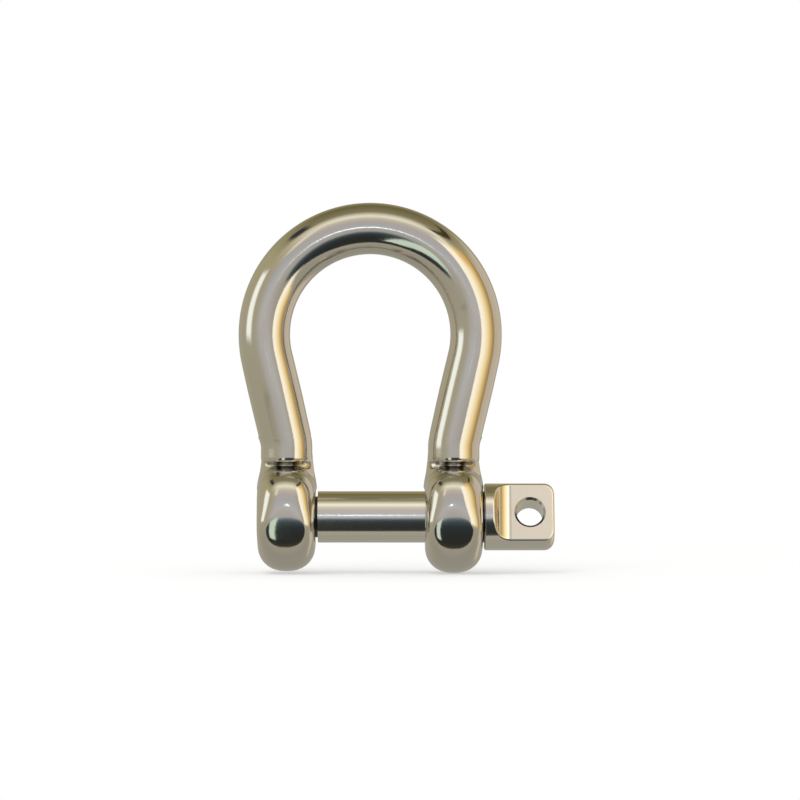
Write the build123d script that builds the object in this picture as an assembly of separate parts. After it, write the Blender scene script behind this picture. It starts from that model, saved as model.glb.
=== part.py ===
from build123d import *
from math import asin, atan2, cos, degrees, hypot, radians, sin, tan
import os

# Bow shackle with a captive-eye screw pin, in millimetres.
# X runs along the pin towards its head, Z up to the crown of the bow, Y through the bow.
# The origin is on the pin's axis, midway between the two ears.

# --- Bow: one bent and forged rod with an ear at each end ---
rod_d = 10.0                # round stock of the bow
crown_inner_r = 15.6        # inside radius of the crown
crown_centre_z = 35.5       # crown centre above the pin's axis
neck_z = 13.2               # height at which each leg turns straight down
neck_bend_r = 10.0          # centreline radius of the small outward bend at the neck
jaw_w = 21.3                # clear width between the ears
ear_t = 11.2                # thickness of an ear along the pin
ear_r = 10.9                # radius of an ear about the pin's axis
ear_rim_r = 5.1             # how far the ear's rounded rim reaches in from its edge
ear_root_fillet = 1.6       # blend where the rod grows out of the ear

# --- Screw pin: thread, shank, collar and eye tab in one piece ---
shank_d = 10.0              # plain shank, and the thread's nominal size
pitch = 1.5                 # M10 coarse, right-hand
thread_depth = 0.92         # radial depth of the pin's thread
crest_w = 0.22              # flat left on a thread crest
thread_gap = 0.15           # radial clearance between the pin's thread and the tapped hole
hole_gap = 0.25             # radial clearance of the shank in the plain ear
relief_w = 1.0              # runout groove between thread and shank
shank_setback = 0.5         # the shank starts this far short of the tapped ear's face
tip_setback = 0.3           # the pin's tip ends this far inside the tapped ear
pilot_l = 1.2               # plain chamfered pilot in front of the thread
pilot_chamfer = 0.8
seat_gap = 0.3              # air between the collar and the plain ear when the pin is home
collar_d = 13.0             # turned head and collar
collar_l = 2.0              # plain collar before the milled flats
head_l = 13.6               # collar face to the end of the tab
tab_t = 6.5                 # tab thickness between its flats
tab_end_r = 2.0             # turned radius round the end of the tab
tab_tilt = 18.5             # the tab's front face looks up by this angle, in degrees
eye_d = 5.2                 # key hole through the tab
eye_sink = 0.45             # depth and width of the countersink at each mouth
eye_from_end = 4.75         # key hole centre to the end of the tab
mouth_chamfer = 0.3         # edge break at the mouths of the ears' holes
edge_break = 0.25           # edge break on the collar
flat_edge_r = 0.45          # rounding where the milled flats and coves meet the turned head

# --- Sizes that follow from those above ---
rod_r = rod_d / 2
crown_r = crown_inner_r + rod_r                     # centreline radius of the crown
ear_x = (jaw_w + ear_t) / 2                         # middle of each ear
ear_inner_x = jaw_w / 2
ear_outer_x = jaw_w / 2 + ear_t
bend_x = ear_x + neck_bend_r                        # centre of the neck bend
centres = hypot(bend_x, crown_centre_z - neck_z)
lean = degrees(asin((crown_r + neck_bend_r) / centres) - atan2(bend_x, crown_centre_z - neck_z))
shank_r = shank_d / 2
crest_r = shank_r - 0.1                             # the thread is rolled a little under the shank
root_r = crest_r - thread_depth
root_w = crest_w + 2 * thread_depth * tan(radians(30))
shank_x = shank_setback - ear_inner_x               # where the plain shank starts
tip_x = tip_setback - ear_outer_x
thread_x = tip_x + pilot_l                          # where the pilot meets the threaded core
ridge_foot = 0.15                                   # the thread's ridge is rooted this far inside its core
ridge_x = thread_x + root_w / 2 + ridge_foot        # middle of the ridge at its start
ridge_l = shank_x - relief_w - root_w / 2 - ridge_x
collar_x = ear_outer_x + seat_gap                   # collar face
head_x = collar_x + head_l                          # end of the tab
eye_x = head_x - eye_from_end
groove_r = (collar_d - tab_t) / 2                   # quarter-round cove at the foot of each flat

ALONG_X = Rotation(0, 90, 0)                        # turns a shape made along Z to lie along X


def rod_length(x, z, length):
    """A straight piece of rod whose middle starts at x, z and runs straight down."""
    return Pos(x, 0, z) * Cylinder(rod_r, length, align=(Align.CENTER, Align.CENTER, Align.MAX))


def rod_arc(centre_x, centre_z, bend_r, start, sweep):
    """A bent piece of rod: start and sweep are degrees in the XZ plane, counted from +X towards +Z."""
    section = Plane.XY * Pos(bend_r, 0) * Circle(rod_r)
    ring = revolve(section, axis=Axis((0, 0, 0), (0, -1, 0)), revolution_arc=sweep)
    return Pos(centre_x, 0, centre_z) * Rotation(0, -start, 0) * ring


def leg():
    """The right-hand leg, from the end of the crown arc down into the ear."""
    tangent = radians(lean)
    top_x = crown_r * cos(tangent)
    top_z = crown_centre_z - crown_r * sin(tangent)
    low_x = bend_x - neck_bend_r * cos(tangent)
    low_z = neck_z + neck_bend_r * sin(tangent)
    length = hypot(top_x - low_x, top_z - low_z)
    slope = Pos(top_x, 0, top_z) * Rotation(0, lean, 0) * rod_length(0, 0, length)
    bend = rod_arc(bend_x, neck_z, neck_bend_r, 180 - lean, lean)
    return slope + bend + rod_length(ear_x, neck_z, neck_z)


def ear():
    """A round ear with flat faces and a fully rounded rim, about the pin's axis."""
    flat_r = ear_r - ear_rim_r
    outline = Polyline((-ear_t / 2, flat_r), (-ear_t / 2, 0), (ear_t / 2, 0), (ear_t / 2, flat_r))
    rim = EllipticalCenterArc((0, flat_r), ear_t / 2, ear_rim_r, start_angle=0, arc_size=180)
    return revolve(Plane.XZ * make_face([*outline.edges(), *rim.edges()]), axis=Axis.X)


def threaded_rod(grow, start, length, plain_end):
    """A right-hand threaded rod along Z. grow is added to its radii, plain_end to both ends' core."""
    low_r = root_r + grow
    top_r = crest_r + grow
    foot_r = low_r - ridge_foot
    foot_w = root_w + (root_w - crest_w) / thread_depth * ridge_foot + grow
    rails = [
        Helix(pitch, length, radius, center=(0, 0, start + side * width / 2))
        for radius, width, side in (
            (foot_r, foot_w, -1),
            (top_r, crest_w + grow, -1),
            (top_r, crest_w + grow, 1),
            (foot_r, foot_w, 1),
        )
    ]
    faces = [Face.make_surface_from_curves(rails[i], rails[(i + 1) % 4]) for i in range(4)]
    faces += [Face(Wire.make_polygon([rail @ end for rail in rails], close=True)) for end in (0, 1)]
    core = Cylinder(low_r, length + 2 * plain_end, align=(Align.CENTER, Align.CENTER, Align.MIN))
    return Pos(0, 0, start - plain_end) * core + Solid(Shell(faces))


def mouth(radius, x, side):
    """The countersink at a hole's mouth at x. side is +1 where the hole opens towards +X."""
    cone = Cone(radius, radius + 2 * mouth_chamfer, 2 * mouth_chamfer,
                align=(Align.CENTER, Align.CENTER, Align.CENTER))
    return Pos(x, 0, 0) * Rotation(0, 90 * side, 0) * cone


def make_bow():
    crown = rod_arc(0, crown_centre_z, crown_r, -lean, 180 + 2 * lean)
    right = leg() + Pos(ear_x, 0, 0) * ear()
    blend = [
        edge for edge in right.edges()
        if rod_r < edge.center().Z < ear_r and edge.bounding_box().size.Y > rod_r
        and edge.bounding_box().max.Z < ear_r
    ]
    right = fillet(blend, ear_root_fillet)
    bow = crown + right + mirror(right, about=Plane.YZ)
    plain_hole = Pos(ear_x, 0, 0) * ALONG_X * Cylinder(shank_r + hole_gap, 2 * ear_t)
    bow -= plain_hole
    bow -= mouth(shank_r + hole_gap, ear_inner_x, -1)
    bow -= mouth(shank_r + hole_gap, ear_outer_x, 1)
    turns_before = 3 * pitch                        # whole pitches, so the tap stays in step with the pin
    tap = threaded_rod(thread_gap, ridge_x - turns_before, ear_t + 2 * turns_before, 2 * pitch)
    bow -= ALONG_X * tap
    bow -= mouth(crest_r + thread_gap, -ear_outer_x, -1)
    bow -= mouth(crest_r + thread_gap, -ear_inner_x, 1)
    return bow


def head():
    """Collar, coves and milled eye tab, with the tab's flats facing -Y and +Y before it is tilted."""
    length = head_x - collar_x
    blank = Pos(collar_x, 0, 0) * ALONG_X * Cylinder(
        collar_d / 2, length, align=(Align.CENTER, Align.CENTER, Align.MIN))
    ends = blank.edges().filter_by(GeomType.CIRCLE).sort_by(Axis.X)
    blank = fillet(ends[-1], tab_end_r)
    blank = chamfer(blank.edges().filter_by(GeomType.CIRCLE).sort_by(Axis.X)[0], edge_break)
    for side in (-1, 1):
        flat = Pos(collar_x + collar_l + groove_r, side * tab_t / 2, 0) * Box(
            2 * head_l, 2 * collar_d, 2 * collar_d,
            align=(Align.MIN, Align.MIN if side > 0 else Align.MAX, Align.CENTER))
        cove = Pos(collar_x + collar_l + groove_r, side * (tab_t / 2 + groove_r), 0) * Cylinder(
            groove_r, 2 * collar_d)
        blank -= flat
        blank -= cove
    milled = blank.faces().filter_by(Axis.Y) + [
        face for face in blank.faces().filter_by(GeomType.CYLINDER) if abs(face.radius - groove_r) < 0.01
    ]
    rims = ShapeList(edge for face in milled for edge in face.edges())
    outer = [edge for edge in rims if edge.geom_type != GeomType.LINE or abs(edge.tangent_at(0.5).Z) < 0.9]
    blank = fillet(outer, flat_edge_r)
    eye = Pos(eye_x, 0, 0) * Rotation(90, 0, 0) * Cylinder(eye_d / 2, 2 * tab_t)
    blank -= eye
    for side in (-1, 1):
        sink = Cone(eye_d / 2, eye_d / 2 + 2 * eye_sink, 2 * eye_sink)
        blank -= Pos(eye_x, side * tab_t / 2, 0) * Rotation(-90 * side, 0, 0) * sink
    return Rotation(-tab_tilt, 0, 0) * blank


def make_screw_pin():
    shaft = ALONG_X * (
        threaded_rod(0, ridge_x, ridge_l, 0)
        + Pos(0, 0, thread_x) * Cylinder(
            root_r, shank_x - thread_x, align=(Align.CENTER, Align.CENTER, Align.MIN))
        + Pos(0, 0, shank_x) * Cylinder(
            shank_r, collar_x - shank_x, align=(Align.CENTER, Align.CENTER, Align.MIN))
    )
    return shaft + head()


def make_pin_pilot():
    pilot = Pos(tip_x, 0, 0) * ALONG_X * Cylinder(
        root_r, pilot_l, align=(Align.CENTER, Align.CENTER, Align.MIN))
    return chamfer(pilot.edges().filter_by(GeomType.CIRCLE).sort_by(Axis.X)[0], pilot_chamfer)


nodes = {
    "bow": make_bow(),
    "screw_pin": make_screw_pin(),
    "pin_pilot": make_pin_pilot(),
}
os.makedirs("parts", exist_ok=True)
for name, shape in nodes.items():
    solids = shape.solids()
    print(name, len(solids), "solid(s)", round(sum(s.volume for s in solids), 1), "mm3")
    export_step(shape if len(solids) > 1 else solids[0], f"parts/{name}.step")
print("lean of the legs", round(lean, 2), "degrees; overall height", round(
    crown_centre_z + crown_r + rod_r + ear_r, 2), "mm")
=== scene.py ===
# %% [markdown]
# # A bow shackle in polished stainless steel
# A bow shackle is two pieces of steel: the bow, a bent rod with an ear forged at each end, and a screw
# pin that closes the jaw between the ears. Polished steel has almost no colour of its own. What the
# eye reads as steel is the room around it, bent by the shape. So the lesson has three parts: the room,
# a smooth true shape for the bow, and the steels.

from math import acos, atan2, cos, hypot, pi, radians, sin

import bpy
import numpy as np
from mathutils import Matrix, Vector


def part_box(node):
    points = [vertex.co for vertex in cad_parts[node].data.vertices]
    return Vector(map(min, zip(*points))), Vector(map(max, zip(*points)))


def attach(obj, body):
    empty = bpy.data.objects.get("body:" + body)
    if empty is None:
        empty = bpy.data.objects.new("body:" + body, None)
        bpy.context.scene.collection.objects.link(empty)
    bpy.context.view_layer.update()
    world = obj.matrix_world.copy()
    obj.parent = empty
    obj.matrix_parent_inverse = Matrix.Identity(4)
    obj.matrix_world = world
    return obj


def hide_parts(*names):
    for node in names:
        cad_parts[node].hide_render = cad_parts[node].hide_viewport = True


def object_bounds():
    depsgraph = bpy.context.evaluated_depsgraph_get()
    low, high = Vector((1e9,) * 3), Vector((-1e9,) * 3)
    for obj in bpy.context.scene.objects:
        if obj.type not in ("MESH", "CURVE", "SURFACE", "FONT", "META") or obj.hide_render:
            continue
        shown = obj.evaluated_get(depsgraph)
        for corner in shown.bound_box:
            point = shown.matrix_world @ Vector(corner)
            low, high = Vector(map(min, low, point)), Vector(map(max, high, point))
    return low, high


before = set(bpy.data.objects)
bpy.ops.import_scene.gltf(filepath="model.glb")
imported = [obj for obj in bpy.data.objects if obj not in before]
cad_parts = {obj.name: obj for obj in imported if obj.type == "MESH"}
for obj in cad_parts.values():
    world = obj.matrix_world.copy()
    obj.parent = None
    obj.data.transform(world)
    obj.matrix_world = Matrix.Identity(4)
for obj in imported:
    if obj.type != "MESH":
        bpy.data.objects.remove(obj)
cad_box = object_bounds()
scene = bpy.context.scene
MM = 0.001                                   # the frame is in metres, and shop sizes are in millimetres
low, high = (corner / MM for corner in cad_box)
bow_low, bow_high = (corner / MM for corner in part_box("bow"))
pin_low, pin_high = (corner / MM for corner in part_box("screw_pin"))
print("whole shackle, mm:", [round(b - a, 2) for a, b in zip(low, high)])
print("bow alone, mm:", [round(b - a, 2) for a, b in zip(bow_low, bow_high)])
print("pin alone, mm:", [round(b - a, 2) for a, b in zip(pin_low, pin_high)])

# %% [markdown]
# ## Small helpers
# Colours are written as the hex values a paint program shows, and one function turns them into the
# linear numbers that Blender calculates with. A second one adds a shader node with its settings and
# its inputs, where an input is either a number or the output of another node. The others start a
# material and put an object into the scene.

# %% Colour, node and object helpers
def linear(hex_colour):
    """An sRGB hex colour such as "C0FFEE" as linear RGBA."""
    channels = [int(hex_colour[i:i + 2], 16) / 255 for i in (0, 2, 4)]
    return [c / 12.92 if c <= 0.04045 else ((c + 0.055) / 1.055) ** 2.4 for c in channels] + [1.0]


def add(tree, kind, inputs=None, **settings):
    """Adds a shader node. An input is a value, or an output socket to link from."""
    node = tree.nodes.new(kind)
    for name, value in settings.items():
        setattr(node, name, value)
    for name, value in (inputs or {}).items():
        if isinstance(value, bpy.types.NodeSocket):
            tree.links.new(value, node.inputs[name])
        else:
            node.inputs[name].default_value = value
    return node


def new_material(name):
    """An empty node material and its output node."""
    material = bpy.data.materials.new(name)
    material.use_nodes = True
    material.node_tree.nodes.clear()
    return material, add(material.node_tree, "ShaderNodeOutputMaterial")


def new_object(name, data):
    """A new object in the scene with this mesh, lamp or camera."""
    made = bpy.data.objects.new(name, data)
    scene.collection.objects.link(made)
    return made


def mesh_object(name, points, faces, smooth=False):
    """A mesh object from points in millimetres."""
    mesh = bpy.data.meshes.new(name)
    mesh.from_pydata([Vector(p) * MM for p in points], [], faces)
    if smooth:
        mesh.shade_smooth()
    return new_object(name, mesh)


print("white as linear numbers:", linear("FFFFFF"), "and middle grey:", linear("808080")[0])

# %% [markdown]
# ## The camera
# Catalogue pictures of hardware are taken level and square to the bow with a long lens, so that the
# rod keeps the same width all round. A camera without perspective would do that too, but then the
# inside of the eye in the tab would look flat. A 160 mm lens at 0.7 m keeps a trace of depth. It aims a
# little right of the jaw's middle, because the pin's head sticks out on that side.

# %% Camera
CAMERA_AT = (5.8, -700.0, 22.74)             # mm, level with the middle of the shackle
FRAME_WIDTH = 155.64                         # mm across the picture at the shackle
SENSOR = 36.0                                # mm across the sensor

camera = new_object("camera", bpy.data.cameras.new("camera"))
camera.location = Vector(CAMERA_AT) * MM
camera.rotation_euler = (radians(90), 0, 0)
camera.data.sensor_width = SENSOR
camera.data.lens = SENSOR * -CAMERA_AT[1] / FRAME_WIDTH
camera.data.clip_start = 0.01
scene.camera = camera
scene.view_settings.view_transform = "Standard"
print("lens, mm:", round(camera.data.lens, 1))

# %% [markdown]
# ## The white background
# A white wall lit by lamps turns grey at its corners. So the background is the world itself: where it
# is seen directly, in a mirror or through glass, it is plain white, and for the rays that carry light
# it is a little weaker. The picture gets its white without any extra light on the steel.

# %% World
SOFT_LIGHT = 0.9                             # share of the light that comes evenly from all round


def seen_directly(tree):
    """1 where a camera, mirror or glass ray looks, and 0 for the rays that carry light."""
    ray = add(tree, "ShaderNodeLightPath").outputs
    seen = ray["Is Camera Ray"]
    for kind in ("Is Glossy Ray", "Is Transmission Ray"):
        seen = add(tree, "ShaderNodeMath", {0: seen, 1: ray[kind]}, operation="MAXIMUM").outputs[0]
    return seen


world = bpy.data.worlds.new("white_room")
world.use_nodes = True
scene.world = world
sky = world.node_tree
sky.nodes.clear()
even = add(sky, "ShaderNodeBackground", {"Color": linear("FFFFFF"), "Strength": SOFT_LIGHT})
white = add(sky, "ShaderNodeBackground", {"Color": linear("FFFFFF"), "Strength": 1.0})
both = add(sky, "ShaderNodeMixShader", {0: seen_directly(sky), 1: even.outputs[0], 2: white.outputs[0]})
add(sky, "ShaderNodeOutputWorld", {"Surface": both.outputs[0]})
print("even light from all round:", SOFT_LIGHT)

# %% [markdown]
# ## The floor
# The shackle stands on matt white paper. Uncoated paper scatters light evenly and doesn't mirror, so it
# is rough and has no gloss. Near the shackle it takes a soft shadow. Further out it turns to plain
# white, as a long sweep of paper does under a wide lamp, and meets the background without a line.

# %% Floor
FLOOR_HALF = 3000.0                          # mm from the middle of the floor to its edges
FLOOR_GAP = 0.02                             # mm of air under the ears, so that no faces coincide
SHADOW_NEAR, SHADOW_FAR = 60.0, 260.0        # mm from the middle, where the paper starts and ends to whiten
SHADOW_DEPTH = 0.55                          # how much of the real shadow the paper keeps close by


def white_paper():
    """Matt paper near the shackle that turns to plain white further out."""
    material, out = new_material("white_paper")
    tree = material.node_tree
    sheet = add(tree, "ShaderNodeBsdfPrincipled", {
        "Base Color": linear("FBFBFA"), "Roughness": 0.9, "Specular IOR Level": 0.0})
    plain = add(tree, "ShaderNodeEmission", {"Color": linear("FFFFFF"), "Strength": 1.0})
    place = add(tree, "ShaderNodeTexCoord").outputs["Object"]
    away = add(tree, "ShaderNodeVectorMath", {0: place}, operation="LENGTH").outputs["Value"]
    fade = add(tree, "ShaderNodeMapRange", {
        "Value": away, "From Min": SHADOW_NEAR * MM, "From Max": SHADOW_FAR * MM,
        "To Min": 1 - SHADOW_DEPTH, "To Max": 1.0}, interpolation_type="SMOOTHSTEP")
    cover = add(tree, "ShaderNodeMath", {0: fade.outputs[0], 1: seen_directly(tree)}, operation="MULTIPLY")
    mixed = add(tree, "ShaderNodeMixShader", {
        0: cover.outputs[0], 1: sheet.outputs[0], 2: plain.outputs[0]})
    tree.links.new(mixed.outputs[0], out.inputs[0])
    return material


floor_z = low.z - FLOOR_GAP
floor_corners = [(x * FLOOR_HALF, y * FLOOR_HALF, floor_z) for x, y in ((-1, -1), (1, -1), (1, 1), (-1, 1))]
floor = mesh_object("floor", floor_corners, [(0, 1, 2, 3)])
floor.data.materials.append(white_paper())
floor.visible_glossy = False
print("floor, mm below the pin's axis:", round(-floor_z, 2))

# %% [markdown]
# ## The lamp
# A round softbox hangs in front, to the left and above. It is there for the shadow under the ears. The
# steel doesn't mirror it, because the cards of the next step give the steel all that it shows.

# %% Softbox
lamp = bpy.data.lights.new("softbox", "AREA")
lamp.shape = "DISK"
lamp.size = 0.5                              # m across, large enough for a soft shadow
lamp.energy = 1.6                            # W
softbox = new_object("softbox", lamp)
softbox.location = (-0.25, -0.35, 0.75)
softbox.rotation_euler = Vector(softbox.location).to_track_quat("Z", "Y").to_euler()
softbox.visible_glossy = False
print("softbox, m from the shackle:", round(softbox.location.length, 2))

# %% [markdown]
# ## The room in the steel
# Polished steel is photographed in a tent of plain cloth with a gap for the lens, and what is left
# outside the tent still shows: windows, dark trim, a warm wall, the person at the camera. A picture
# of a real room could be wrapped round the scene instead, but nothing in it could be moved. So the
# room is built of glowing cards, which only the steel sees. A card's colour is the colour that the
# steel is to show, so its light is made stronger by what the steel takes away.

# %% Places round the shackle
STEEL_SHOWS = 0.60                           # polished steel gives back about this much of what it sees
CENTRE = Vector((0, 0, 20.0))                # mm, the middle of the room


def towards(az, el, reach):
    """The point at a bearing and height angle from the shackle's middle, bearing 0 being the front."""
    a, e = radians(az), radians(el)
    return CENTRE + Vector((sin(a) * cos(e), -cos(a) * cos(e), sin(e))) * reach


def only_mirrored(obj):
    """The steel sees this object, and nothing else does."""
    obj.visible_camera = obj.visible_diffuse = obj.visible_shadow = False
    obj.visible_transmission = obj.visible_volume_scatter = False


print("light of a card that is to look white in the steel:", round(1 / STEEL_SHOWS, 2))

# %% [markdown]
# ### Glowing cloth
# A card is translucent cloth lit from behind. Its colour runs along one side, and its edges fade,
# because steel that is tumbled and not lapped never draws a hard line. Most cards fade along their
# straight sides. The one for the person fades at a rounded outline, because a head and shoulders
# have no corners.

# %% How a card fades at its edges
def straight_sides(tree, place, shares):
    """1 in the middle of a card, fading to 0 at its sides over these shares of its width and height."""
    cover = 1.0
    for axis, share in zip("XY", shares):
        for side in (0.0, 1.0):
            fade = add(tree, "ShaderNodeMapRange", {
                "Value": place[axis], "From Min": side, "From Max": abs(side - share)},
                interpolation_type="SMOOTHSTEP").outputs[0]
            cover = add(tree, "ShaderNodeMath", {0: cover, 1: fade}, operation="MULTIPLY").outputs[0]
    return cover


ROUNDING = 2.6                               # 2 would be an ellipse, and more is nearer to an oblong


def rounded_outline(tree, place, share):
    """1 in the middle of a card, fading to 0 at a rounded oblong that touches its sides."""
    total = 0.0
    for axis in "XY":
        off = add(tree, "ShaderNodeMapRange", {"Value": place[axis], "To Min": -1.0}).outputs[0]
        off = add(tree, "ShaderNodeMath", {0: off}, operation="ABSOLUTE").outputs[0]
        off = add(tree, "ShaderNodeMath", {0: off, 1: ROUNDING}, operation="POWER").outputs[0]
        total = add(tree, "ShaderNodeMath", {0: total, 1: off}, operation="ADD").outputs[0]
    return add(tree, "ShaderNodeMapRange", {
        "Value": total, "From Min": 1.0, "From Max": 1 - 2 * share},
        interpolation_type="SMOOTHSTEP").outputs[0]


# %% Glowing cloth
def fill_ramp(ramp, stops):
    """Gives a colour ramp its (place, hex colour) stops, the first and last of which it already has."""
    elements = ramp.color_ramp.elements
    for at, colour in stops[1:-1]:
        elements.new(at)
    for element, (at, colour) in zip(elements, stops):
        element.position, element.color = at, linear(colour)


def glow(name, colour, soft, along="X", outline=straight_sides, level=1.0):
    """Glowing cloth of one hex colour, or of (place, hex colour) stops along one side of the card."""
    material, out = new_material(name)
    tree = material.node_tree
    uv = add(tree, "ShaderNodeUVMap", uv_map="card")
    place = add(tree, "ShaderNodeSeparateXYZ", {0: uv.outputs[0]}).outputs
    ramp = add(tree, "ShaderNodeValToRGB", {0: place[along]})
    fill_ramp(ramp, [(0, colour), (1, colour)] if isinstance(colour, str) else colour)
    light = add(tree, "ShaderNodeEmission", {"Color": ramp.outputs[0], "Strength": level / STEEL_SHOWS})
    clear = add(tree, "ShaderNodeBsdfTransparent")
    mixed = add(tree, "ShaderNodeMixShader", {
        0: outline(tree, place, soft), 1: clear.outputs[0], 2: light.outputs[0]})
    tree.links.new(mixed.outputs[0], out.inputs[0])
    return material


# %% [markdown]
# ### Hanging the cards
# A sail is curved round the shackle and placed by bearings and height angles, as a photographer would
# point at it. A board is flat and placed in millimetres. Near boards matter, because parts of the
# bow that lie apart see them in different places, which far walls can't do.

# %% The net of a card
NET_STEPS = 16                               # squares along each side of a card


def card(corners, steps=NET_STEPS):
    """A sheet stretched between four corners: lower left, lower right, upper right, upper left."""
    a, b, c, d = (Vector(p) for p in corners)
    points, uvs, faces = [], [], []
    for j in range(steps + 1):
        for i in range(steps + 1):
            u, v = i / steps, j / steps
            points.append((a * (1 - u) + b * u) * (1 - v) + (d * (1 - u) + c * u) * v)
            uvs.append((u, v))
    for j in range(steps):
        for i in range(steps):
            k = j * (steps + 1) + i
            faces.append((k, k + 1, k + steps + 2, k + steps + 1))
    return points, uvs, faces


# %% Sails and boards
hung = []                                    # names of the cards so far


def hang(name, points, uvs, faces, material):
    """A card as an object that only the steel sees."""
    obj = mesh_object(name, points, faces, smooth=True)
    layer = obj.data.uv_layers.new(name="card")
    for loop in obj.data.loops:
        layer.data[loop.index].uv = uvs[loop.vertex_index]
    obj.data.materials.append(material)
    only_mirrored(obj)
    hung.append(name)


def sail(name, corners, reach, material, steps=NET_STEPS):
    """A card whose four corners are bearings and height angles, curved round the shackle."""
    points, uvs, faces = card([(az, el, 0) for az, el in corners], steps)
    hang(name, [towards(p.x, p.y, reach) for p in points], uvs, faces, material)


def board(name, corners, material):
    """A flat card whose four corners are points in millimetres."""
    hang(name, *card(corners), material)


# %% [markdown]
# ### The tent
# The tent is unbleached cotton. In front it is lit evenly, overhead it catches the ceiling lamp as a
# cream band, and behind the top it falls away to olive shade. The colour follows the angle over the
# pin's direction, so that every length of the rod that runs across shows the same bands. Towards the
# left and right it changes to plain side cloth, because there the angle would jump.

# %% Tent
TENT_R = 1500.0                              # mm, radius of the tent
TENT_STEPS = 48                              # squares along each side of its net
OVER = [                                     # degrees over the pin: 0 is the front, 90 is straight up
    (-180, "8F8C82"), (-90, "8F8C80"), (-66, "9C9688"), (-8, "9F9A90"), (6, "B2B0AE"), (16, "A6A8AA"),
    (30, "ADA5A2"), (44, "BDB5A4"), (57, "E8E2CE"), (66, "C6C1AD"), (73, "A59E84"), (80, "7F785C"),
    (120, "675F3B"), (152, "8A8268"), (180, "8F8C82")]
SIDES = [(0, "8F8A7C"), (0.45, "9D9885"), (0.6, "A19A84"), (0.82, "A09878"), (1, "6E6546")]
SIDES_FROM, SIDES_FULL = 0.25, 0.75          # share to the left or right where the side cloth takes over


def tent_cloth():
    """Unbleached cotton, lighter in front and olive behind the top."""
    material, out = new_material("tent_cloth")
    tree = material.node_tree
    place = add(tree, "ShaderNodeTexCoord").outputs["Object"]
    place = add(tree, "ShaderNodeVectorMath", {0: place}, operation="NORMALIZE").outputs[0]
    place = add(tree, "ShaderNodeSeparateXYZ", {0: place}).outputs
    front = add(tree, "ShaderNodeMath", {0: place["Y"], 1: -1.0}, operation="MULTIPLY").outputs[0]
    over = add(tree, "ShaderNodeMath", {0: place["Z"], 1: front}, operation="ARCTAN2").outputs[0]
    over = add(tree, "ShaderNodeMapRange", {"Value": over, "From Min": -pi, "From Max": pi}).outputs[0]
    middle = add(tree, "ShaderNodeValToRGB", {0: over})
    fill_ramp(middle, [((angle + 180) / 360, colour) for angle, colour in OVER])
    height = add(tree, "ShaderNodeMapRange", {"Value": place["Z"], "From Min": -1.0}).outputs[0]
    sides = add(tree, "ShaderNodeValToRGB", {0: height})
    fill_ramp(sides, SIDES)
    aside = add(tree, "ShaderNodeMath", {0: place["X"]}, operation="ABSOLUTE").outputs[0]
    turn = add(tree, "ShaderNodeMapRange", {
        "Value": aside, "From Min": SIDES_FROM, "From Max": SIDES_FULL},
        interpolation_type="SMOOTHSTEP").outputs[0]
    colour = add(tree, "ShaderNodeMix", {0: turn, 6: middle.outputs[0], 7: sides.outputs[0]},
                 data_type="RGBA")
    light = add(tree, "ShaderNodeEmission", {"Color": colour.outputs[2], "Strength": 1 / STEEL_SHOWS})
    tree.links.new(light.outputs[0], out.inputs[0])
    return material


sail("tent", [(-180, -90), (180, -90), (180, 90), (-180, 90)], TENT_R, tent_cloth(), TENT_STEPS)
print("tent of", TENT_R / 1000, "m radius with", len(OVER), "colours over the top")

# %% [markdown]
# ### The room to the left and right
# A window on the left gives each round piece its white streak, and the dark trim over it the short
# dark stroke above that streak. Haze is cloth that hangs closer and glows a little. On the right is a
# warm wall and dark trim again, and low on the left is the shaded edge of the table.

# %% Walls, windows and trim
ROOM = 1200                                  # mm to what hangs just inside the tent
sail("left_window", [(-92, -2), (-54, -2), (-54, 31), (-90, 34)], ROOM,
     glow("daylight", "F2F5EC", (0.30, 0.12)))
sail("left_lintel", [(-110, 48), (-60, 48), (-60, 62), (-110, 62)], ROOM,
     glow("dark_trim", "32323C", (0.15, 0.3)))
sail("left_haze", [(-38, 24), (-22, 24), (-22, 52), (-38, 52)], ROOM,
     glow("cream_haze", "DCD4BE", (0.4, 0.3)))
sail("right_haze", [(33, 34), (52, 34), (52, 56), (33, 56)], ROOM,
     glow("cream_haze_right", "E0D8C0", (0.4, 0.3)))
sail("right_lintel", [(45, 50), (130, 50), (130, 58), (45, 58)], ROOM,
     glow("brown_trim", "3C3020", (0.1, 0.3)))
sail("right_wall", [(86, -40), (150, -40), (150, 44), (86, 44)], ROOM + 50,
     glow("warm_wall", [(0, "B9AA97"), (1, "BBB09F")], (0.15, 0.15)))
sail("table_edge", [(-62, -14), (-14, -3.5), (-14, -2), (-62, -12)], ROOM - 100,
     glow("edge_shadow", "77735F", (0.45, 0.4)))
print("hung so far:", hung)

# %% [markdown]
# ### The lamplit board
# Close on the right stands a board under a warm lamp. It gives the bow its amber side: nearly white
# where the board turns to the camera, and deeper towards the back. It stands so near that the right
# leg, the nearer one, sees more of it than the left leg, and shows the wider amber band.

# %% Amber on the right
BOARD_REACH = 130                            # mm to the lamplit board
LAMP_REACH = 126                             # mm to the glow of its lamp, just in front of it
sail("amber_wall", [(30, -24), (88, -24), (88, 50), (30, 50)], BOARD_REACH,
     glow("lamplit_board", [(0, "FFF8EC"), (0.22, "FFF4DA"), (0.5, "EED8A4"), (0.75, "C8A768"),
                            (1, "846A3E")], (0.06, 0.12)))
sail("amber_lamp", [(46, 35), (84, 35), (84, 51), (46, 51)], LAMP_REACH,
     glow("amber_glow", [(0, "F0CE8C"), (1, "C08E44")], (0.35, 0.45)))

# %% [markdown]
# ### The person at the camera
# Whoever takes the picture stands in front in a dark coat, and a flash glints over the lens. The coat
# is the dark oval in each ear and the dark band along the pin. A pale window shows beside the person,
# on the left. The coat's top is low enough for the legs of the bow to look over it.

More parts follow.
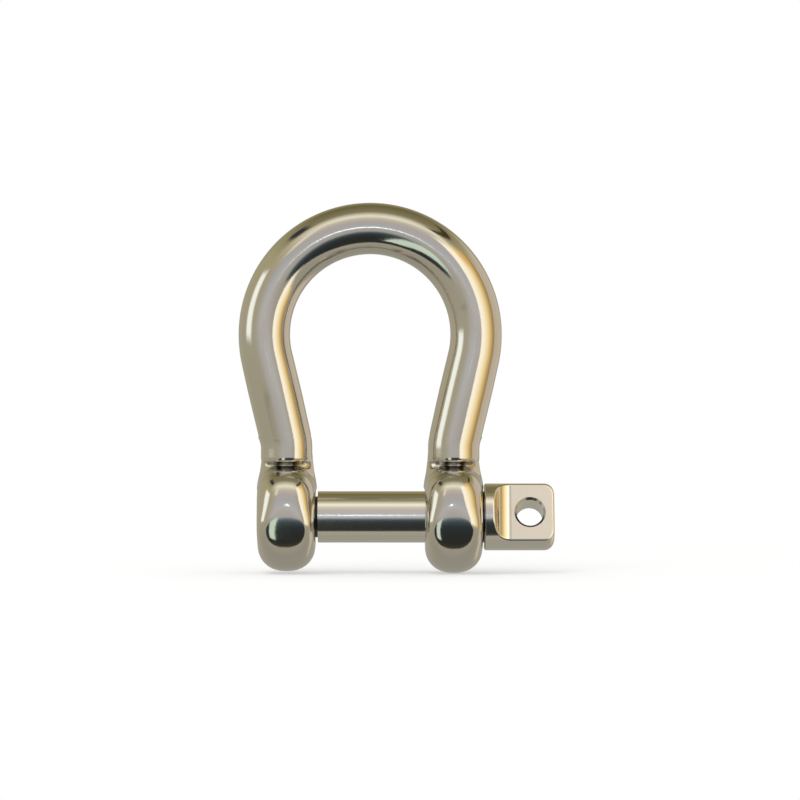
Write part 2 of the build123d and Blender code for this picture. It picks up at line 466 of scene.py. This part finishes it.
# %% In front
COAT = [(0, "3A3830"), (0.2, "34322B"), (0.4, "2A2B27"), (0.7, "2A2C2C"), (0.85, "2C3234"),
        (0.93, "3F484D"), (0.97, "5E6A72"), (1, "8492A0")]      # from the feet up to the hazy shoulders
FLASH_LEVEL = 4                              # times as bright as white
board("person", [(-280, -300, -690), (245, -300, -690), (245, -300, 6), (-280, -300, -45)],
      glow("dark_coat", COAT, 0.035, along="Y", outline=rounded_outline))
board("small_window", [(-150, -290, -330), (-62, -290, -360), (-42, -290, -6), (-128, -290, -40)],
      glow("pale_window", [(0, "BECDBE"), (1, "C8D6C6")], (0.06, 0.05)))
board("flash", [(-34, -550, 76), (20, -550, 76), (12, -550, 92), (-34, -550, 92)],
      glow("flash_light", "E6F0FF", (0.3, 0.3), level=FLASH_LEVEL))
print("the room is made of:", hung)

# %% [markdown]
# ## The shape of the bow
# The real bow is drop forged: a rod with two thick ears, and the fins and steps between them ground
# and tumbled away. It could be patched together from a tube and two discs, but every patch shows in a
# mirror. So the shape is written as a distance: a formula that says how far a point is from the
# steel. Formulas melt into each other smoothly, and a mesh that is laid on them is smooth too.

# %% Melting and fading
def melt(a, b, k):
    """The nearer of two distances, melted into each other over about k."""
    h = np.maximum(k - np.abs(a - b), 0) / k
    return np.minimum(a, b) - h * h * k / 4


def smooth_step(x):
    """0 below 0, 1 above 1, and a smooth climb between them."""
    x = np.clip(x, 0, 1)
    return x * x * (3 - 2 * x)


print("two surfaces that meet, melted over 1 mm, gain", -melt(0.0, 0.0, 1.0), "mm")

# %% [markdown]
# ### The rod
# The bow starts as a straight 10 mm bar and is bent hot. Its middle line is a crown arc, two straight
# legs that lean in, and a small bend that turns each leg straight down over its ear. The distance to
# the rod is the distance to that line, less the rod's radius. Forging thickens the legs very slightly,
# and leaves a lip round the front and back of the rod where it stops short of the ear.

# %% Sizes of the rod, in millimetres
JAW_W = 21.3                                 # clear width between the ears
EAR_T = 11.2                                 # thickness of an ear along the pin
EAR_X = (JAW_W + EAR_T) / 2                  # middle of an ear
ROD_R = 5.0
NECK_Z = 13.2                                # where each leg turns straight down
NECK_BEND_R = 10.0
CROWN_R = bow_high.x - ROD_R                 # radius of the rod's middle line in the crown
CROWN_Z = bow_high.z - bow_high.x
SWELL = 0.1                                  # how much thicker the legs are, in radius
SWELL_LENGTH = 12                            # over this length at each end of a leg it comes and goes
ROD_END_Z = 10.55                            # the rod's front and back end here, in a rounded lip
LIP_R = 1.0                                  # rounding of that lip
FAR = 99                                     # a distance that never counts as the nearest

BEND_X = EAR_X + NECK_BEND_R                 # centre of the small bend
LEAN = pi / 2 - acos((CROWN_R + NECK_BEND_R) / hypot(BEND_X, CROWN_Z - NECK_Z)) - atan2(
    BEND_X, CROWN_Z - NECK_Z)
LEG_TOP = np.array([CROWN_R * cos(LEAN), CROWN_Z - CROWN_R * sin(LEAN)])
LEG_FOOT = np.array([BEND_X - NECK_BEND_R * cos(LEAN), NECK_Z + NECK_BEND_R * sin(LEAN)])
print("the legs lean in by", round(LEAN * 180 / pi, 2), "degrees")
print("straight part of a leg, mm:", round(float(np.linalg.norm(LEG_FOOT - LEG_TOP)), 2))


# %% The rod as a distance
def rod_distance(x, y, z):
    """Distance to the bent rod, with rounded lips at its lower ends. x is measured outwards."""
    crown = np.abs(np.hypot(x, z - CROWN_Z) - CROWN_R)
    crown = np.where(np.arctan2(z - CROWN_Z, x) >= -LEAN, crown, FAR)
    along = LEG_FOOT - LEG_TOP
    t = np.clip(((x - LEG_TOP[0]) * along[0] + (z - LEG_TOP[1]) * along[1]) / (along @ along), 0, 1)
    leg = np.hypot(x - LEG_TOP[0] - t * along[0], z - LEG_TOP[1] - t * along[1])
    bend = np.abs(np.hypot(x - BEND_X, z - NECK_Z) - NECK_BEND_R)
    # The bend is cut off level and not square to the line, which leaves a step of up to 0.13 mm there.
    bend = np.where((z >= NECK_Z) & (z <= LEG_FOOT[1]) & (x < BEND_X), bend, FAR)
    down = np.where(z <= NECK_Z, np.abs(x - EAR_X), FAR)
    middle = np.minimum(np.minimum(crown, leg), np.minimum(bend, down))
    swell = SWELL * smooth_step((z - NECK_Z) / SWELL_LENGTH) * smooth_step((CROWN_Z - z) / SWELL_LENGTH)
    rod = np.hypot(middle, y) - ROD_R - swell
    a, b = rod + LIP_R, ROD_END_Z - z + LIP_R
    return np.minimum(np.maximum(a, b), 0) + np.hypot(np.maximum(a, 0), np.maximum(b, 0)) - LIP_R


middle_of_rod = rod_distance(np.array([0.0]), np.array([0.0]), np.array([CROWN_Z + CROWN_R]))[0]
print("depth of the rod's middle line at the crown, mm:", round(float(-middle_of_rod), 3))

# %% [markdown]
# ### The ears
# An ear is a thick disc with flat faces and a round rim. Seen along the pin it is half an ellipse below
# and has squarer shoulders above. Its rim isn't a plain half circle: the dies leave it fullest at the
# front and back, a little below the pin's axis, and rounder at the top and the bottom. The left ear
# was ground a little more than the right one.

# %% The ears as a distance, sizes in millimetres
EAR_R = -bow_low.z                           # the right ear reaches the floor
LEFT_EAR_R = EAR_R - 0.35
EAR_W = 10.65                                # how far an ear stands out to the front and the back
EAR_MID = 0.5                                # its broadest height above the pin's axis
EAR_TOP = 10.05                              # height of its shoulders
SHOULDER = 2.7                               # 2 would be an ellipse, and more is squarer
RIM_R = 5.25                                 # how far an ear's rounded rim reaches in
RIM_SQUARE = 2.25                            # squareness of the rim's section, where 2 is an ellipse
RIM_FULLER = 1.8                             # how much squarer it is where it is fullest
RIM_FULLEST = -17                            # degrees above the middle, so below it, where it is fullest
RIM_SPREAD = 22                              # degrees over which that fades
TINY = 1e-6                                  # keeps zero out of the divisions


def ear_distance(x, y, z, ear_r):
    """Roughly the distance to an ear. x is measured outwards."""
    up, out = z - EAR_MID, np.maximum(np.abs(y), TINY)
    below = np.hypot(out / EAR_W, up / (ear_r + EAR_MID))
    above = (out / EAR_W) ** SHOULDER + (np.maximum(up, 0) / (EAR_TOP - EAR_MID)) ** SHOULDER
    share = np.where(up > 0, above ** (1 / SHOULDER), below)     # 1 on the outline, 0 in the middle
    depth = (1 - share) * np.hypot(out, up) / share
    slope = np.degrees(np.arctan2(up, out))
    power = RIM_SQUARE + RIM_FULLER * np.exp(-((slope - RIM_FULLEST) / RIM_SPREAD) ** 2)
    across = np.abs(x - EAR_X) / (EAR_T / 2)
    outwards = np.maximum(1 - depth / RIM_R, 0)
    return ((across ** power + outwards ** power) ** (1 / power) - 1) * RIM_R


print("ears, mm: right", round(EAR_R, 2), "and left", round(LEFT_EAR_R, 2), "down from the pin's axis")

# %% [markdown]
# ### The neck and the whole bow
# Between lip and ear the steel is pinched to an oval neck, broad along the pin and thin from front to
# back. It is what keeps the groove in front and lets the sides run on without a step. The neck melts
# into the ear with a wide blend at the sides and a tight one in front, and the rod then melts on top.

# %% The whole bow as a distance, sizes in millimetres
NECK_X, NECK_Y = 5.15, 2.9                   # half axes of the neck
NECK_MID, NECK_HALF_H = 8.0, 4.0             # its middle height and half its height
NECK_TAPER = 0.3                             # how much narrower it is at its top
TAPER_FROM, TAPER_LENGTH = 9.5, 3            # where that starts, and over what height
NECK_INWARDS = 0.12                          # it stands this much nearer to the jaw than the ear's middle
EAR_MELT, EAR_MELT_SIDES = 0.5, 1.3          # blend of ear and neck in front, and what the sides add
ROD_MELT, ROD_MELT_SIDES = 0.45, -0.2        # blend of rod and neck in front, and what the sides add


def bow_distance(p):
    """Distance of points, an array of rows, to the surface of the bow without its holes."""
    x, y, z = np.abs(p[:, 0]), p[:, 1], p[:, 2]
    rod = rod_distance(x, y, z)
    ear = ear_distance(x, y, z, np.where(p[:, 0] < 0, LEFT_EAR_R, EAR_R))
    neck_x = NECK_X - NECK_TAPER * smooth_step((z - TAPER_FROM) / TAPER_LENGTH)
    aside = x - EAR_X + NECK_INWARDS
    k1 = np.hypot(aside / neck_x, y / NECK_Y)
    k2 = np.maximum(np.hypot(aside / neck_x ** 2, y / NECK_Y ** 2), TINY)
    neck = np.maximum(k1 * (k1 - 1) / k2, np.abs(z - NECK_MID) - NECK_HALF_H)
    side = smooth_step(np.abs(x - EAR_X) / ROD_R)
    body = melt(ear, neck, EAR_MELT + EAR_MELT_SIDES * side)
    return melt(body, rod, ROD_MELT + ROD_MELT_SIDES * side)


def gradient(p, step=0.01):
    """Which way the distance grows, by small steps in millimetres along each axis."""
    rows = [bow_distance(p + d) - bow_distance(p - d) for d in np.eye(3) * step]
    return np.stack(rows, axis=1) / (2 * step)


print("off the shape at the top of the crown, mm:", float(bow_distance(np.array([[0, 0, bow_high.z]]))[0]))

# %% [markdown]
# ## The net of the bow
# A mesh can be grown on a formula by cutting space into cubes, but its points then lie unevenly and
# the reflections ripple. So the mesh starts as a rough stand-in, a bent tube and two thick discs, and a
# voxel remesh turns them into one even net. Each point then walks to the true surface along the slope
# of the distance. Between walks the points are evened out, so that the squares of the net stay square.

# %% Shapes made of rings
def ring_faces(rings, turns):
    """The faces that join rings of points, one after the other, and close both ends."""
    faces = []
    for j in range(rings - 1):
        for i in range(turns):
            k, n = j * turns + i, j * turns + (i + 1) % turns
            faces.append((k, n, n + turns, k + turns))
    last = (rings - 1) * turns
    return faces + [tuple(reversed(range(turns))), tuple(range(last, last + turns))]


def lathe(outline, turns):
    """A shape turned about the X axis from (x, radius) points. Returns its points and faces."""
    angles = [2 * pi * i / turns for i in range(turns)]
    points = [(x, r * sin(a), -r * cos(a)) for x, r in outline for a in angles]
    return points, ring_faces(len(outline), turns)


# %% The stand-in: a tube and two discs
TUBE_TURNS, DISC_TURNS = 32, 64              # points round the tube and round a disc
BEND_POINTS, CROWN_POINTS = 6, 40            # rings along a neck bend and along half the crown
RIM_POINTS = 15                              # points across a disc's rim
TUBE_END_Z = 8.0                             # the tube ends inside the ears


def middle_line():
    """Points of the rod's middle line from the left ear over the crown to the right ear."""
    bend, crown = np.linspace(0, LEAN, BEND_POINTS), np.linspace(-LEAN, pi / 2, CROWN_POINTS)
    half = [(EAR_X, TUBE_END_Z)]
    half += [(BEND_X - NECK_BEND_R * cos(a), NECK_Z + NECK_BEND_R * sin(a)) for a in bend]
    half += [(CROWN_R * cos(a), CROWN_Z + CROWN_R * sin(a)) for a in crown]
    return [(-x, z) for x, z in half] + [(x, z) for x, z in reversed(half[:-1])]


def raw_mesh(points, faces):
    """A mesh that stays in millimetres while it is worked on."""
    mesh = bpy.data.meshes.new("raw")
    mesh.from_pydata([tuple(p) for p in points], [], faces)
    return mesh


def rough_bow():
    """The stand-in: a tube of rings along the middle line, and two discs that cut into it."""
    line = np.array(middle_line())
    ahead = np.gradient(line, axis=0)
    ahead /= np.linalg.norm(ahead, axis=1)[:, None]
    angles = [2 * pi * i / TUBE_TURNS for i in range(TUBE_TURNS)]
    points = [(x - dz * ROD_R * cos(a), ROD_R * sin(a), z + dx * ROD_R * cos(a))
              for (x, z), (dx, dz) in zip(line, ahead) for a in angles]
    faces = ring_faces(len(line), TUBE_TURNS)
    for side in (-1, 1):
        outline = [(side * EAR_X + u * EAR_T / 2, EAR_R - RIM_R * (1 - (1 - u * u) ** 0.5))
                   for u in np.linspace(-1, 1, RIM_POINTS)]
        more, rings = lathe(outline, DISC_TURNS)
        faces += [tuple(k + len(points) for k in face) for face in rings]
        points += more
    return raw_mesh(points, faces)


rough = rough_bow()
print("stand-in:", len(rough.vertices), "points")

# %% One even net
VOXEL = 0.36                                 # mm between points of the net


def remeshed(mesh, size):
    """The outer skin of a mesh as an even net of squares."""
    obj = new_object("remesh", mesh)
    tool = obj.modifiers.new("net", "REMESH")
    tool.mode, tool.voxel_size = "VOXEL", size
    result = bpy.data.meshes.new_from_object(obj.evaluated_get(bpy.context.evaluated_depsgraph_get()))
    bpy.data.objects.remove(obj)
    return result


def coordinates(mesh):
    """The points of a mesh as an array of rows."""
    p = np.zeros(len(mesh.vertices) * 3)
    mesh.vertices.foreach_get("co", p)
    return p.reshape(-1, 3)


skin = remeshed(rough, VOXEL)
print("net:", len(skin.vertices), "points")

# %% Walk to the surface
FIRST_WALK, LAST_WALK = 6, 3                 # steps before and after the evening out
ROUNDS, EVEN_SHARE = 8, 0.6                  # how often, and how far towards the neighbours' middle
FAINT = 0.05                                 # the steps stay short where the distance hardly grows


def walk(p, steps):
    """Points moved along the slope of the distance to the surface."""
    for _ in range(steps):
        g = gradient(p)
        p = p - g * (bow_distance(p) / np.maximum((g * g).sum(1), FAINT))[:, None]
    return p


def evened(p, edges):
    """Points moved towards the middle of their neighbours."""
    total = np.zeros_like(p)
    np.add.at(total, edges[:, 0], p[edges[:, 1]])
    np.add.at(total, edges[:, 1], p[edges[:, 0]])
    neighbours = np.bincount(edges.ravel(), minlength=len(p))
    return p + EVEN_SHARE * (total / neighbours[:, None] - p)


edges = np.zeros(len(skin.edges) * 2, int)
skin.edges.foreach_get("vertices", edges)
edges = edges.reshape(-1, 2)
p = walk(coordinates(skin), FIRST_WALK)
for _ in range(ROUNDS):
    p = walk(evened(p, edges), 1)
p = walk(p, LAST_WALK)
skin.vertices.foreach_set("co", p.ravel())
print("furthest off the shape, mm:", float(np.abs(bow_distance(p)).max()))

# %% [markdown]
# ## The holes in the ears
# The right ear is drilled plain and the left ear is tapped, M10 coarse. Both are cut as on the bench:
# a cutter is made first, a rod with a countersink at each face or the tap itself, and then taken away
# from the steel. The tap is a rod whose radius is a formula of place and angle, so its thread runs in
# step with the thread of the pin.

# %% The drill, sizes in millimetres
SHANK_R = 5.0
HOLE_GAP = 0.25                              # air round the pin's shank
MOUTH = 0.3                                  # countersink at each face, at 45 degrees
REACH = 1.0                                  # how far a cutter stands out of the ear
DRILL_TURNS = 128


def drill():
    """The plain drill with a countersink at both faces of the right ear."""
    x0, x1, r = JAW_W / 2, JAW_W / 2 + EAR_T, SHANK_R + HOLE_GAP
    wide = r + MOUTH + REACH
    outline = [(x0 - REACH, wide), (x0 + MOUTH, r), (x1 - MOUTH, r), (x1 + REACH, wide)]
    return lathe(outline, DRILL_TURNS)


print("plain hole, mm across:", 2 * (SHANK_R + HOLE_GAP))

# %% The tap, sizes in millimetres
PITCH = 1.5
TAP_LOW, TAP_TOP = 4.13, 5.05                # radii at the foot and the crest of the tap
TAP_FOOT_W, TAP_CREST_W = 1.43, 0.37         # widths of a ridge there
RIDGE_X = pin_low.x + 0.791                  # middle of the pin's first ridge of thread, at angle 0
TAP_TURNS, TAP_STEPS = 96, 16                # points round the tap, and along each turn of thread


def tap():
    """The tap, with a countersink at both faces of the left ear."""
    x0, x1 = -JAW_W / 2 - EAR_T, -JAW_W / 2
    xs = np.arange(x0 - REACH, x1 + REACH, PITCH / TAP_STEPS)
    angle = 2 * pi * np.arange(TAP_TURNS) / TAP_TURNS
    phase = (xs[:, None] - RIDGE_X) / PITCH - angle[None, :] / (2 * pi)
    off = np.abs(phase - np.round(phase)) * PITCH
    climb = np.clip((TAP_FOOT_W / 2 - off) / ((TAP_FOOT_W - TAP_CREST_W) / 2), 0, 1)
    mouths = TAP_TOP + MOUTH - np.minimum(xs - x0, x1 - xs)
    r = np.maximum(TAP_LOW + climb * (TAP_TOP - TAP_LOW), mouths[:, None])
    points, faces = lathe([(x, 1.0) for x in xs], TAP_TURNS)
    return [(x, y * s, z * s) for (x, y, z), s in zip(points, r.ravel())], faces


print("turns of thread in the left ear:", round(EAR_T / PITCH, 1))


# %% Cut both holes
def cut(mesh, points, faces):
    """mesh with a cutter taken away."""
    body, tool = new_object("body", mesh), new_object("tool", raw_mesh(points, faces))
    knife = body.modifiers.new("cut", "BOOLEAN")
    knife.operation, knife.solver, knife.object = "DIFFERENCE", "EXACT", tool
    result = bpy.data.meshes.new_from_object(body.evaluated_get(bpy.context.evaluated_depsgraph_get()))
    for obj in (body, tool):
        bpy.data.objects.remove(obj)
    return result


bored = cut(cut(skin, *drill()), *tap())
print("bow with its holes:", len(bored.polygons), "faces")

# %% [markdown]
# ## The finished bow
# Smooth shading averages the faces round a point, and on a mirror that still shows the net. So the
# normals of the outer skin come straight from the formula, and the reflections run as smoothly as on
# the real bow. The walls of the holes keep the normals of their own faces, with sharp edges. So do the
# faces round four points at the feet of the legs, where the formula has a small step.

# %% The finished bow
ON_SKIN = 0.004                              # mm, a point this near to the formula is on the outer skin
SHARP = radians(30)

p = coordinates(bored)
on_skin = np.abs(bow_distance(p)) < ON_SKIN
slopes = gradient(p)
slopes /= np.linalg.norm(slopes, axis=1)[:, None]
bored.shade_smooth()
bored.set_sharp_from_angle(angle=SHARP)
normals = np.zeros((len(bored.loops), 3))    # a zero leaves the normal that the face gives
for face in bored.polygons:
    if on_skin[list(face.vertices)].all():
        for loop in face.loop_indices:
            normals[loop] = slopes[bored.loops[loop].vertex_index]
bored.normals_split_custom_set([tuple(n) for n in normals])
bored.transform(Matrix.Scale(MM, 4))
bow = new_object("forged_bow", bored)
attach(bow, "bow")
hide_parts("bow")
print("points on the outer skin:", int(on_skin.sum()), "and in the holes:", int((~on_skin).sum()))

# %% [markdown]
# ## The steels
# Both pieces are the same austenitic stainless steel, and each way of working it leaves its own skin:
# tumbling, turning, milling, threading. One colour and one roughness would make them look cast in
# plastic. So one function makes all four: a metal with a soft unevenness, finer marks on top that
# also vary the gloss, and both drawn out along the way the tool ran. It can also have painted shade in
# bands: a darker colour in the grooves and gaps, standing in for the shade that falls there.

# %% Where shade is painted on a steel
def band(tree, value, middle, full, none):
    """1 where value is within full of middle, and 0 beyond none. All in millimetres."""
    off = add(tree, "ShaderNodeMath", {0: value, 1: middle * MM}, operation="SUBTRACT").outputs[0]
    off = add(tree, "ShaderNodeMath", {0: off}, operation="ABSOLUTE").outputs[0]
    return add(tree, "ShaderNodeMapRange", {
        "Value": off, "From Min": full * MM, "From Max": none * MM, "To Min": 1.0, "To Max": 0.0},
        interpolation_type="SMOOTHSTEP").outputs[0]


def painted_shade_mask(tree, place, bands):
    """1 where all the bands meet. A band is an axis, its middle, its half width and where it ends."""
    axes = add(tree, "ShaderNodeSeparateXYZ", {0: place}).outputs
    painted_shade = 1.0
    for axis, middle, full, none in bands:
        value = axes[axis]
        if axis == "X":                      # the same on the left and on the right
            value = add(tree, "ShaderNodeMath", {0: value}, operation="ABSOLUTE").outputs[0]
        part = band(tree, value, middle, full, none)
        painted_shade = add(tree, "ShaderNodeMath", {0: painted_shade, 1: part}, operation="MULTIPLY").outputs[0]
    return painted_shade


# %% How a steel is made
PEEL, PEEL_DEPTH = 1.6, 0.0016               # mm: the soft unevenness that tumbling leaves, and its depth
MARK, MARK_DEPTH = 0.22, 0.001               # mm: real polishing marks are finer, and wouldn't show
NOISE_LOW, NOISE_HIGH = 0.3, 0.7             # nearly all of a noise lies between these
SMOOTHEST, ROUGHEST = 0.75, 1.35             # how far the marks vary the roughness
PAINTED_SHADE_COLOUR = "35322B"                              # painted shade: the darker colour that stands in for the shade in grooves and gaps


def steel(name, colour, roughness, stretch=(1, 1, 1), bands=None, depth=1.0):
    """A polished steel. Its fine marks are drawn out by stretch, and bands gives where shade is painted
    into its colour.
    """
    material, out = new_material(name)
    tree = material.node_tree
    place = add(tree, "ShaderNodeTexCoord").outputs["Object"]
    drawn = add(tree, "ShaderNodeVectorMath", {0: place, 1: stretch}, operation="MULTIPLY").outputs[0]
    swirl = add(tree, "ShaderNodeTexNoise", {"Vector": drawn, "Scale": 1 / (PEEL * MM), "Detail": 1.0})
    marks = add(tree, "ShaderNodeTexNoise", {"Vector": drawn, "Scale": 1 / (MARK * MM), "Detail": 3.0})
    rough = add(tree, "ShaderNodeMapRange", {
        "Value": marks.outputs[0], "From Min": NOISE_LOW, "From Max": NOISE_HIGH,
        "To Min": roughness * SMOOTHEST, "To Max": roughness * ROUGHEST})
    skin = add(tree, "ShaderNodeBump", {"Height": swirl.outputs[0], "Distance": depth * PEEL_DEPTH * MM})
    skin = add(tree, "ShaderNodeBump", {
        "Height": marks.outputs[0], "Distance": depth * MARK_DEPTH * MM, "Normal": skin.outputs[0]})
    metal = add(tree, "ShaderNodeBsdfPrincipled", {
        "Base Color": linear(colour), "Metallic": 1.0, "Roughness": rough.outputs[0],
        "Normal": skin.outputs[0]})
    # painted shade: in the bands the base colour turns to the darker shade colour
    if bands:
        tint = add(tree, "ShaderNodeMix", {
            0: painted_shade_mask(tree, place, bands), 6: linear(colour), 7: linear(PAINTED_SHADE_COLOUR)}, data_type="RGBA")
        tree.links.new(tint.outputs[2], metal.inputs["Base Color"])
    tree.links.new(metal.outputs[0], out.inputs[0])
    return material


# %% [markdown]
# ### The four skins
# Tumbled stainless is forged, ground and rolled in ceramic chips: a deep gloss over a slightly wavy
# skin, which breaks the edges of every reflection. Turned stainless comes off the lathe: the marks run
# round the shaft and draw a lamp out along it. Milled stainless is flat, lighter and more satin. The
# thread is rougher, and its dark colour is painted shade, for the shade between its flanks, which only
# see each other.

# %% Four steels, sizes in millimetres
# Painted shade under each lip in the middle of the neck, and in the gap between the right ear and the
# collar.
GROOVE = [("Z", 10.3, 0.35, 0.8), ("Y", 0, 4.2, 4.7), ("X", EAR_X, 1.6, 2.8)]
COLLAR_GAP = [("X", 21.98, 0.16, 0.19)]
tumbled = steel("tumbled_stainless", "C9C7C3", 0.09, bands=GROOVE, depth=3.0)
turned = steel("turned_stainless", "D8D6D2", 0.13, bands=COLLAR_GAP, stretch=(4, 1, 1))
milled = steel("milled_stainless", "F2EEE6", 0.2, stretch=(1, 1, 3))
# painted shade: the thread's dark colour stands in for the shade between its flanks
threaded = steel("thread_in_shade", "4A473F", 0.35)
bow.data.materials.clear()
bow.data.materials.append(tumbled)
print("steels:", [material.name for material in (tumbled, turned, milled, threaded)])

# %% [markdown]
# ## The pin
# The pin is one turned piece, and its shape is already right, so it keeps its mesh. Only its skins
# are given out, face by face: the two flats of the tab are milled and look up a little, because the
# pin stopped there when it was screwed home. All that lies left of the shank is thread, and the rest
# is turned.

# %% Give out the pin's skins
TAB_TILT = 18.5                              # degrees by which the flats look up or down
TILT_SLACK, SQUARE_SLACK = 0.002, 0.01       # how far the facing of a flat may be off
TAB_X = 24                                   # mm, the flats lie beyond this
SHANK_X = -10.15                             # mm, where the plain shank starts
SLACK = 0.01                                 # mm


def is_flat_of_tab(face):
    """True on the two milled flats: square to the pin's length and tilted like the tab."""
    tilted = abs(abs(face.normal.y) - cos(radians(TAB_TILT))) < TILT_SLACK
    return tilted and abs(face.normal.x) < SQUARE_SLACK and face.center.x > TAB_X * MM


def is_thread(mesh, face):
    """True where the whole face lies left of the plain shank."""
    return max(mesh.vertices[k].co.x for k in face.vertices) < (SHANK_X + SLACK) * MM


for name in ("screw_pin", "pin_pilot"):
    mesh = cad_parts[name].data
    mesh.materials.clear()
    for material in (turned, milled, threaded):
        mesh.materials.append(material)
    counts = [0, 0, 0]
    for face in mesh.polygons:
        face.material_index = 1 if is_flat_of_tab(face) else 2 if is_thread(mesh, face) else 0
        counts[face.material_index] += 1
    print(name, "faces turned, milled and threaded:", counts)
